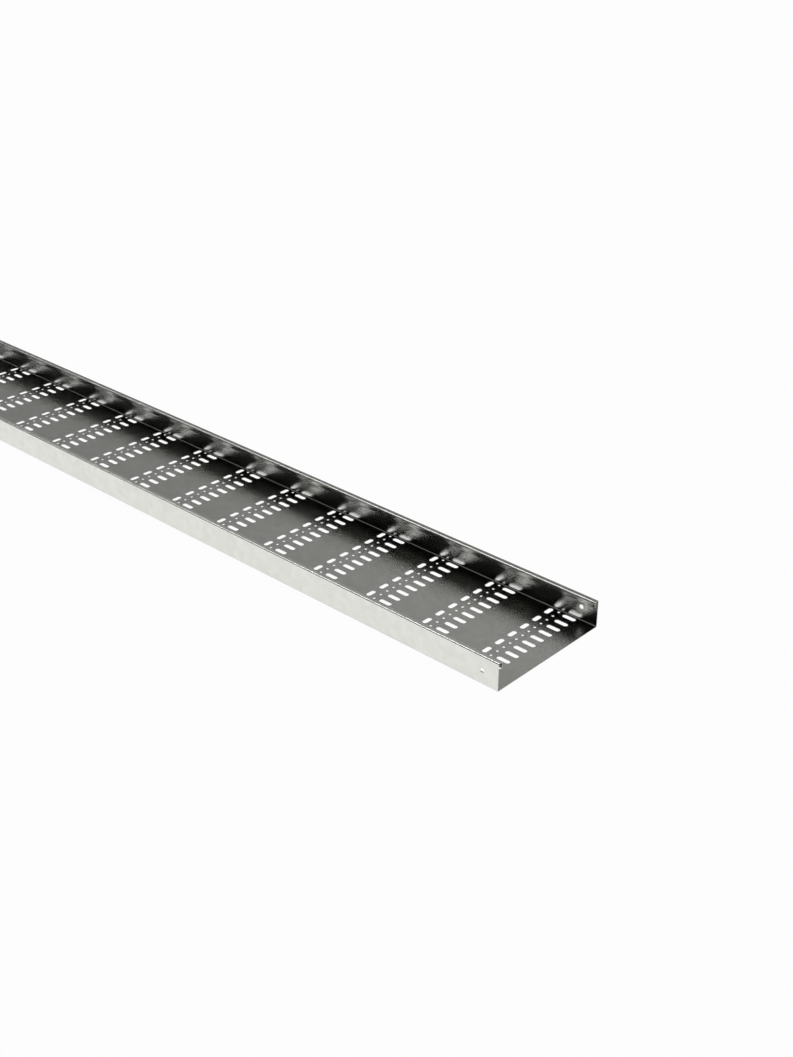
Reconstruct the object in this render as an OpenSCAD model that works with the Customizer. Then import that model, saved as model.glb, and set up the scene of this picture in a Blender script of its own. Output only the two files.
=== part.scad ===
// Perforated cable tray: one straight length of thin steel sheet, punched with bands of slots and
// round holes and folded up into a shallow channel whose rims turn in and down.
// Millimetres, +Z up, +X along the tray. The origin is under the middle of the floor.

/* [Tray] */
// Length of the tray, end to end
tray_length = 3000; // [300:100:6000]
// Width over the outer faces of the two side walls
tray_width = 198.5; // [90:0.5:600]
// Height from the underside of the floor to the top of the rims
tray_height = 40; // [30:1:110]
// Thickness of the sheet
sheet = 0.75; // [0.5:0.05:1.5]
// Inside radius of every bend
bend_radius = 1; // [0.2:0.05:1.5]

/* [Rims] */
// Width of the flange that turns in at the top of each wall, over its two bends
flange_width = 8; // [6.5:0.5:20]
// Height of the lip that turns down from the flange, from the top of the rim
lip_height = 9; // [4:0.5:15]
// Angle of the two bends of each rim: past a right angle, the flange slopes in and the lip leans back
rim_bend = 96; // [90:1:105]

/* [Floor pattern] */
// Distance along the tray from one band of slots and holes to the next
band_pitch = 100; // [70:1:250]
// Width of floor that holds three long slots, four round holes and two cross slots
repeat_width = 50; // [45:0.5:80]
// Length of the slots that run along the tray, over their round ends
long_slot_length = 20; // [10:0.5:30]
// Length of the slots that run across the tray, over their round ends
cross_slot_length = 15; // [9:0.5:20]
// Width of every slot
slot_width = 7; // [5:0.1:8.5]
// Diameter of the small round holes
round_hole_d = 3.6; // [2:0.1:6]
// Clear sheet between the ends of the long slots and the sides of the cross slots
row_gap = 16.5; // [8:0.5:25]
// Least sheet left between a slot or hole and the bend beside it
bend_clearance = 0.5; // [0:0.1:5]
// Least plain sheet left at each end of the tray, before the first band
end_clearance = 20; // [5:1:60]

/* [Joint holes] */
// Diameter of the hole near each end of each side wall
joint_hole_d = 6.5; // [4:0.1:11]
// Distance from the end of the tray to the middle of that hole
joint_hole_inset = 25; // [10:0.5:60]

/* [Hidden] */
$fn = 60;

// Slots and holes in one repeat width, and the pitch that follows
long_pitch = repeat_width / 3;
round_pitch = repeat_width / 4;
cross_pitch = repeat_width / 2;

bend_outer = bend_radius + sheet;
half_width = tray_width / 2;
floor_width = tray_width - 2 * bend_outer;
punched_width = floor_width - 2 * bend_clearance;
punched_length = tray_length - 2 * end_clearance;

// Flats of the wall and its rim, between the bends
lean = rim_bend - 90;
wall_flat = tray_height - 2 * bend_outer;
flange_flat = (flange_width - 2 * bend_outer) / cos(lean);
flange_drop = flange_flat * sin(lean);
lip_flat = (lip_height - bend_outer - flange_drop - bend_outer * sin(2 * lean)) / cos(2 * lean);

// Rows of one band, about the middle of the band
band_length = long_slot_length + row_gap + slot_width;
long_row = (band_length - long_slot_length) / 2;
cross_row = (slot_width - band_length) / 2;
round_row = (slot_width - long_slot_length) / 2;

// Cuts run this far past the sheet on both sides
overrun = sheet;

function fitting(space, size, pitch) = floor((space - size) / pitch) + 1;
function centred(i, count, pitch) = (i - (count - 1) / 2) * pitch;

// A slot along X with round ends
module slot(length) {
    straight = length - slot_width;
    square([straight, slot_width], center = true);
    for (side = [-1, 1])
        translate([side * straight / 2, 0]) circle(d = slot_width);
}

// Copies of a slot or hole, side by side across the tray
module row(x, size, pitch) {
    count = fitting(punched_width, size, pitch);
    for (i = [0 : count - 1])
        translate([x, centred(i, count, pitch)]) children();
}

// One band of the floor: long slots, round holes, cross slots
module band() {
    row(long_row, slot_width, long_pitch) slot(long_slot_length);
    row(round_row, round_hole_d, round_pitch) circle(d = round_hole_d);
    row(cross_row, cross_slot_length, cross_pitch) rotate(90) slot(cross_slot_length);
}

module floor_cuts() {
    count = fitting(punched_length, band_length, band_pitch);
    translate([0, 0, -overrun])
        linear_extrude(sheet + 2 * overrun)
            for (i = [0 : count - 1])
                translate([centred(i, count, band_pitch), 0]) band();
}

module joint_hole_cuts() {
    for (end = [-1, 1])
        translate([end * (tray_length / 2 - joint_hole_inset), 0, tray_height / 2])
            rotate([90, 0, 0])
                cylinder(d = joint_hole_d, h = tray_width + 2 * overrun, center = true);
}

// The sheet in a left-hand bend about the origin, from its +X side round
module bend(angle) {
    reach = 2 * bend_outer;
    intersection() {
        difference() {
            circle(r = bend_outer);
            circle(r = bend_radius);
        }
        polygon([[0, 0], for (part = [0, 0.5, 1]) reach * [cos(part * angle), sin(part * angle)]]);
    }
}

// The sheet between two bends, running on along +Y
module flat(length) {
    translate([bend_radius, 0]) square([sheet, length]);
}

// One wall with its rim, seen along the tray, on the +Y side: followed from the floor up
module wall_section() {
    translate([half_width - bend_outer, bend_outer]) {
        rotate(-90) bend(90);
        flat(wall_flat);
        translate([0, wall_flat]) {
            bend(rim_bend);
            rotate(rim_bend) {
                flat(flange_flat);
                translate([0, flange_flat]) {
                    bend(rim_bend);
                    rotate(rim_bend) flat(lip_flat);
                }
            }
        }
    }
}

module tray_section() {
    translate([-floor_width / 2, 0]) square([floor_width, sheet]);
    wall_section();
    mirror([1, 0]) wall_section();
}

module cable_tray() {
    color("gainsboro")
        difference() {
            rotate([90, 0, 90]) linear_extrude(tray_length, center = true) tray_section();
            floor_cuts();
            joint_hole_cuts();
        }
}

cable_tray();
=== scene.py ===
# %% [markdown]
# # Perforated cable tray
# The object is one piece of thin zinc-coated steel: a strip that was punched flat with bands of slots and
# small holes, then folded into a shallow channel whose rims turn in and down. The solid already has every
# slot and bend at its real size, so no shape is added here. This lesson is about finish and light: bare
# metal has hardly any look of its own, and what it reflects makes most of the picture.

import bmesh
import bpy
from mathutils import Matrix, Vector


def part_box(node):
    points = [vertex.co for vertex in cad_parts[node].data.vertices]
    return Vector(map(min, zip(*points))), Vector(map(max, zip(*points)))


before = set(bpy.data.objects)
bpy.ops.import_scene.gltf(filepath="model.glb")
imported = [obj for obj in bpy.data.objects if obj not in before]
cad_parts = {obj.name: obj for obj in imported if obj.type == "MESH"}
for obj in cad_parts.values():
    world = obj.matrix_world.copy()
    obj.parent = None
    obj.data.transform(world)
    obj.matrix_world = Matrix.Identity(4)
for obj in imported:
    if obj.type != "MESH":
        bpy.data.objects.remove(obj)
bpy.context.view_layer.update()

MM = 0.001
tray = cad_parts["cable_tray"]
tray_low, tray_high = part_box("cable_tray")
print("tray, mm:", [round((b - a) / MM, 2) for a, b in zip(tray_low, tray_high)])

# %% [markdown]
# ## Camera
# The camera stands off the near right end and looks along the tray and down, at about 29 degrees. It
# could be turned by eye until the picture looks right. But the floor's holes are a grid of known spacing,
# and a grid seen in perspective fixes both the camera's place and its lens, so these numbers were solved
# from the grid. The Standard view shows tones as they are reckoned, with no film curve over them.

# %% Camera
CAMERA_PLACE = Vector((2414.7, -1259.4, 1022.8)) * MM
CAMERA_AIM = Vector((1133.3, 117.8, 0)) * MM
LENS_MM = 50.88
SENSOR_MM = 36

camera_data = bpy.data.cameras.new("camera")
camera_data.lens = LENS_MM
camera_data.sensor_width = SENSOR_MM
camera = bpy.data.objects.new("camera", camera_data)
camera.location = CAMERA_PLACE
camera.rotation_euler = (CAMERA_AIM - CAMERA_PLACE).to_track_quat("-Z", "Y").to_euler()
bpy.context.scene.collection.objects.link(camera)
bpy.context.scene.camera = camera
bpy.context.scene.view_settings.view_transform = "Standard"
print("camera to aim, m:", round((CAMERA_AIM - CAMERA_PLACE).length, 3))

# %% [markdown]
# ## Helpers for node trees
# A material or a world is a tree of nodes. It could be wired by hand in the editor, but a script can be
# read, changed and run again. Two small helpers keep it short: one adds a node with its settings, and one
# joins an output or a plain value to an input.

# %% Node helpers
def add(tree, kind, **settings):
    node = tree.nodes.new(kind)
    for name, value in settings.items():
        setattr(node, name, value)
    return node


def join(tree, source, target):
    if isinstance(source, bpy.types.NodeSocket):
        tree.links.new(source, target)
    else:
        target.default_value = source


print("helpers that add and join nodes are ready")

# %% [markdown]
# ## Streaks and flakes
# The strip was rolled along its length and dipped in zinc. Rolling leaves very fine streaks along the
# tray, and zinc sets in faint flakes. A picture wrapped round the sheet could hold them, but on three
# metres it would be coarse and would show where it repeats. Noise in the object's own coordinates, in
# metres, keeps their real size everywhere. The streaks are a noise that is stretched lengthwise, which
# runs round the bends too.

# %% Streaks and flakes
STREAK_LENGTH_MM = 120
STREAK_WIDTH_MM = 1.5
STREAK_DETAIL = 3
FLAKE_MM = 9


def streaks(tree, place):
    stretch = add(tree, "ShaderNodeMapping")
    sizes = (STREAK_LENGTH_MM, STREAK_WIDTH_MM, STREAK_WIDTH_MM)
    stretch.inputs["Scale"].default_value = [1 / (size * MM) for size in sizes]
    join(tree, place, stretch.inputs["Vector"])
    noise = add(tree, "ShaderNodeTexNoise")
    noise.inputs["Scale"].default_value = 1
    noise.inputs["Detail"].default_value = STREAK_DETAIL
    join(tree, stretch.outputs[0], noise.inputs["Vector"])
    return noise.outputs[0]


def flakes(tree, place):
    cells = add(tree, "ShaderNodeTexVoronoi", feature="SMOOTH_F1")
    cells.inputs["Scale"].default_value = 1 / (FLAKE_MM * MM)
    join(tree, place, cells.inputs["Vector"])
    tone = add(tree, "ShaderNodeSeparateColor")
    join(tree, cells.outputs["Color"], tone.inputs[0])
    return tone.outputs[0]


print("streaks, mm:", STREAK_LENGTH_MM, "x", STREAK_WIDTH_MM, "flakes, mm:", FLAKE_MM)

# %% [markdown]
# ## Grain
# The skin of the zinc is covered with dimples that are too small to see. Each one mirrors sharply but
# faces its own way, and together they make the sheet satin. High roughness would blur it too, but spreads
# a little light everywhere. Here a noise far finer than a pixel tips the normal a few degrees either way:
# that blur ends, so the dark parts of the sheet stay dark.

# %% Grain
GRAIN_MM = 0.05
GRAIN_TILT = 0.48
NOISE_MIDDLE = 0.5


def calc(tree, operation, *values, kind="ShaderNodeMath"):
    node = add(tree, kind, operation=operation)
    for value, socket in zip(values, node.inputs):
        join(tree, value, socket)
    return node.outputs[0]


def vector_calc(tree, operation, *values):
    return calc(tree, operation, *values, kind="ShaderNodeVectorMath")


def grained(tree, place, normal):
    noise = add(tree, "ShaderNodeTexNoise")
    noise.inputs["Scale"].default_value = 1 / (GRAIN_MM * MM)
    noise.inputs["Detail"].default_value = 0
    join(tree, place, noise.inputs["Vector"])
    lean = vector_calc(tree, "SUBTRACT", noise.outputs["Color"], (NOISE_MIDDLE,) * 3)
    tilt = vector_calc(tree, "MULTIPLY", lean, (GRAIN_TILT,) * 3)
    return vector_calc(tree, "NORMALIZE", vector_calc(tree, "ADD", normal, tilt))


print("grain, mm:", GRAIN_MM, "tilt:", GRAIN_TILT)

# %% [markdown]
# ## Cut edges and bends
# Punching and shearing leave raw edges, and folding stretches the zinc until it goes matt. Both could be
# painted by hand, but on a folded sheet the normal and the place are enough to find them. No side of the
# sheet looks along the tray, so a face whose normal has any X in it can only be a cut edge, and so can an
# upright face low down between the bends. Where the sheet is low and part turned, it is in one of the two
# bends along the floor.

# %% Cut edges and bends
SHEET_MM = 0.75
BEND_INSIDE_MM = 1
BEND_MM = BEND_INSIDE_MM + SHEET_MM
FLOOR_HALF_MM = (tray_high[1] - tray_low[1]) / MM / 2 - BEND_MM
# Least X in the normal of a cut edge across the tray, and most Z in that of one along it
END_TURN = 0.05
UPRIGHT_TURN = 0.5
# Least and most Z in a normal that is inside a bend
BEND_TURN = (0.25, 0.985)


def chain(tree, operation, first, *rest):
    result = first
    for value in rest:
        result = calc(tree, operation, result, value)
    return result


def edges(tree, place, normal):
    spot = add(tree, "ShaderNodeSeparateXYZ")
    join(tree, place, spot.inputs[0])
    facing = add(tree, "ShaderNodeSeparateXYZ")
    join(tree, normal, facing.inputs[0])
    endwise = calc(tree, "ABSOLUTE", facing.outputs["X"])
    level = calc(tree, "ABSOLUTE", facing.outputs["Z"])
    off_middle = calc(tree, "ABSOLUTE", spot.outputs["Y"])

    low = calc(tree, "LESS_THAN", spot.outputs["Z"], BEND_MM * MM)
    inside = calc(tree, "LESS_THAN", off_middle, FLOOR_HALF_MM * MM)
    upright = calc(tree, "LESS_THAN", level, UPRIGHT_TURN)
    along_cut = chain(tree, "MULTIPLY", upright, low, inside)
    across_cut = calc(tree, "GREATER_THAN", endwise, END_TURN)
    cut = calc(tree, "MAXIMUM", across_cut, along_cut)

    least, most = BEND_TURN
    turned = calc(tree, "GREATER_THAN", level, least)
    not_level = calc(tree, "LESS_THAN", level, most)
    low_bend = chain(tree, "MULTIPLY", turned, not_level, low)
    return cut, low_bend


print("floor between its bends, mm:", round(2 * FLOOR_HALF_MM, 2))

# %% [markdown]
# ## Mixes by a mask
# Most of a finish is a base that changes where a mask is white. Blender's Mix node does this, with one
# set of sockets for each kind of value, and a link to the wrong set does nothing and gives no error. So
# this helper looks up where the two inputs and the output are, for plain numbers and for colours.

# %% Mixes by a mask
MIX_SOCKETS = {"FLOAT": (2, 3, 0), "RGBA": (6, 7, 2)}


def blend(tree, mask, first, second, kind="FLOAT"):
    first_in, second_in, result = MIX_SOCKETS[kind]
    node = add(tree, "ShaderNodeMix", data_type=kind)
    join(tree, mask, node.inputs["Factor"])
    join(tree, first, node.inputs[first_in])
    join(tree, second, node.inputs[second_in])
    return node.outputs[result]


def opaque(colour):
    return (*colour, 1)


print("mixes for:", ", ".join(MIX_SOCKETS))

# %% [markdown]
# ## Zinc-coated sheet
# Now the parts come together in one metal. The flakes shift its colour a little, the streaks its
# roughness and its bump, and the grain its blur; cut edges are greyer, rougher steel, and the bends are
# matt. A metal's colour is the share of light that it gives back, so pale zinc is near 0.75, a touch less
# in blue. Several materials would need their faces picked out, while one with masks leaves the sheet a
# single piece.

# %% Zinc-coated sheet
ZINC = (0.745, 0.745, 0.708)
FLAKE_SHADE = 0.96
CUT_STEEL = (0.56, 0.56, 0.55)
SHEET_ROUGHNESS = (0.11, 0.15)
BEND_ROUGHNESS = 0.9
CUT_ROUGHNESS = 0.45
BUMP_HEIGHT_MM = 0.002


def zinc_sheet():
    material = bpy.data.materials.new("zinc_coated_sheet")
    material.use_nodes = True
    tree = material.node_tree
    shader = tree.nodes["Principled BSDF"]
    shader.inputs["Metallic"].default_value = 1
    coordinates = add(tree, "ShaderNodeTexCoord")
    place, normal = coordinates.outputs["Object"], coordinates.outputs["Normal"]
    rolled = streaks(tree, place)
    cut, low_bend = edges(tree, place, normal)

    dark, light = [opaque(c * change for c in ZINC) for change in (FLAKE_SHADE, 1 / FLAKE_SHADE)]
    zinc = blend(tree, flakes(tree, place), dark, light, kind="RGBA")
    colour = blend(tree, cut, zinc, opaque(CUT_STEEL), kind="RGBA")
    join(tree, colour, shader.inputs["Base Color"])

    satin = blend(tree, rolled, *SHEET_ROUGHNESS)
    satin = blend(tree, low_bend, satin, BEND_ROUGHNESS)
    join(tree, blend(tree, cut, satin, CUT_ROUGHNESS), shader.inputs["Roughness"])

    bump = add(tree, "ShaderNodeBump")
    bump.inputs["Distance"].default_value = BUMP_HEIGHT_MM * MM
    join(tree, rolled, bump.inputs["Height"])
    join(tree, grained(tree, place, bump.outputs[0]), shader.inputs["Normal"])
    return material


finish = zinc_sheet()
for slot in tray.material_slots:
    slot.material = finish
print("tray's finish:", [slot.material.name for slot in tray.material_slots])

# %% [markdown]
# ## A studio painted by direction
# A flat sheet of metal shows one patch of the room, like a mirror. Lamps and walls could be built as
# objects, but the metal only sees which way they lie, so the room is painted onto the world, by the
# direction that a ray leaves in. Two measures place everything: how far along the tray the ray points,
# from -1 to 1, and its turn about the tray's length, from 0 degrees level beyond the tray, over 90
# straight up, to 180 on the near side. Ramps with soft ends turn these measures into light.

# %% Ramps
def soft_ramp(tree, value, start, stop, low=0.0, high=1.0):
    node = add(tree, "ShaderNodeMapRange", interpolation_type="SMOOTHSTEP")
    for name, number in (("From Min", start), ("From Max", stop), ("To Min", low), ("To Max", high)):
        node.inputs[name].default_value = number
    join(tree, value, node.inputs["Value"])
    return node.outputs["Result"]


print("ramp helper ready")

# %% [markdown]
# ## Wall beyond the tray
# From this camera the tray's floor shows the wall beyond it, on the left. A lit wall is brightest low
# down and fades upwards. With a real wall and lamp, that fade would take much trying out. Painted, it is
# the product of four ramps: one for its foot, one for its fade upwards, one for where it starts and one
# for how it dims far to the left.

# %% Wall beyond the tray
# Each pair is where a ramp starts and where it stops.
WALL_GREY = 0.46
WALL_FOOT_DEG = (10, 22)
WALL_TOP_DEG = (24, 68)
WALL_START = (-0.2, -0.35)
WALL_FADE = (-0.9, -0.45)
WALL_FAR_SHARE = 0.7


def wall_beyond(tree, along, turn):
    return chain(tree, "MULTIPLY", soft_ramp(tree, turn, *WALL_TOP_DEG, WALL_GREY, 0),
                 soft_ramp(tree, turn, *WALL_FOOT_DEG),
                 soft_ramp(tree, along, *WALL_START),
                 soft_ramp(tree, along, *WALL_FADE, WALL_FAR_SHARE, 1))


print("wall, degrees up:", WALL_FOOT_DEG[0], "to", WALL_TOP_DEG[1])

# %% [markdown]
# ## Strip light
# Each rim's bend turns through more than a right angle, so it sweeps past a strip light that hangs along
# the tray and draws it out into a bright line. An area lamp would do the same, but it would need a place
# and a size in space. Painted on the world, it only needs a direction: it is a ramp away from the middle
# of the strip, times two ramps along it.

# %% Strip light
STRIP_LIGHT = 5.8
STRIP_DEG = 80
STRIP_HALF_DEG = (8, 13)
STRIP_START = (-0.25, -0.5)
STRIP_FADE = (-0.95, -0.5)
STRIP_FAR_SHARE = 0.05


def strip_light(tree, along, turn):
    off_middle = calc(tree, "ABSOLUTE", calc(tree, "SUBTRACT", turn, STRIP_DEG))
    return chain(tree, "MULTIPLY", soft_ramp(tree, off_middle, *STRIP_HALF_DEG, STRIP_LIGHT, 0),
                 soft_ramp(tree, along, *STRIP_START),
                 soft_ramp(tree, along, *STRIP_FADE, STRIP_FAR_SHARE, 1))


print("strip, degrees up:", STRIP_DEG, "brightness:", STRIP_LIGHT)

# %% [markdown]
# ## The whole room
# The inside of the far wall shows the room behind the near wall. That part is left black, and so the far
# wall goes dark. A broad soft light on the right and a grey wall at the left end serve the other sides,
# and white paper runs up to just over the horizon all round. Everything is added up, and the paper is
# laid over the sum.

# %% The whole room
WHITE = 1
PAPER_TOP = (0.08, 0.10)
RIGHT_GREY = 0.65
RIGHT_START = (-0.05, 0.6)
END_GREY = 0.3
END_START = (-0.9, -0.985)


def studio_world():
    world = bpy.data.worlds.new("studio")
    world.use_nodes = True
    tree = world.node_tree
    axes = add(tree, "ShaderNodeSeparateXYZ")
    join(tree, add(tree, "ShaderNodeTexCoord").outputs["Generated"], axes.inputs[0])
    along, across, rise = axes.outputs
    turn = calc(tree, "DEGREES", calc(tree, "ARCTAN2", rise, across))

    right_light = soft_ramp(tree, along, *RIGHT_START, 0, RIGHT_GREY)
    end_wall = soft_ramp(tree, along, *END_START, 0, END_GREY)
    room = chain(tree, "ADD", wall_beyond(tree, along, turn), right_light, end_wall,
                 strip_light(tree, along, turn))
    seen = blend(tree, soft_ramp(tree, rise, *PAPER_TOP), WHITE, room)
    join(tree, seen, tree.nodes["Background"].inputs["Color"])
    return world


bpy.context.scene.world = studio_world()
print("world:", bpy.context.scene.world.name)

# %% [markdown]
# ## Paper
# The tray lies on white paper. Lamps that light paper to plain white would flood the tray as well. So
# most of the white is given straight, to what the camera, the metal and any glass see, and the rest is a
# matt surface that takes the room's light and so keeps the tray's soft shadow.

# %% Paper
PAPER_GREY = 0.9
PLAIN_SHARE = 0.97


def paper():
    material = bpy.data.materials.new("white_paper")
    material.use_nodes = True
    tree = material.node_tree
    tree.nodes.remove(tree.nodes["Principled BSDF"])
    matt = add(tree, "ShaderNodeBsdfDiffuse")
    matt.inputs["Color"].default_value = opaque((PAPER_GREY,) * 3)
    plain = add(tree, "ShaderNodeEmission")
    rays = add(tree, "ShaderNodeLightPath").outputs
    seen = chain(tree, "MAXIMUM", rays["Is Camera Ray"], rays["Is Glossy Ray"], rays["Is Transmission Ray"])
    surface = add(tree, "ShaderNodeMixShader")
    join(tree, calc(tree, "MULTIPLY", seen, PLAIN_SHARE), surface.inputs[0])
    join(tree, matt.outputs[0], surface.inputs[1])
    join(tree, plain.outputs[0], surface.inputs[2])
    join(tree, surface.outputs[0], tree.nodes["Material Output"].inputs["Surface"])
    return material


white_paper = paper()
print("paper:", white_paper.name, "given straight:", PLAIN_SHARE)

# %% [markdown]
# ## Floor
# The floor is one flat face, wide enough to reach the horizon. It lies a hair under the tray, because two
# faces in one plane would show through each other. A plane from the editor's menu would do, but a bmesh
# grid with its place in its mesh leaves the object at the origin, as the tray's is.

# %% Floor
PAPER_SIZE_M = 200
PAPER_DROP_MM = 0.2

sheet = bmesh.new()
bmesh.ops.create_grid(sheet, x_segments=1, y_segments=1, size=PAPER_SIZE_M / 2)
bmesh.ops.translate(sheet, verts=sheet.verts, vec=(0, 0, -PAPER_DROP_MM * MM))
floor = bpy.data.objects.new("paper_floor", bpy.data.meshes.new("paper_floor"))
sheet.to_mesh(floor.data)
sheet.free()
floor.data.materials.append(white_paper)
bpy.context.scene.collection.objects.link(floor)
print("floor:", floor.name, "faces:", len(floor.data.polygons))
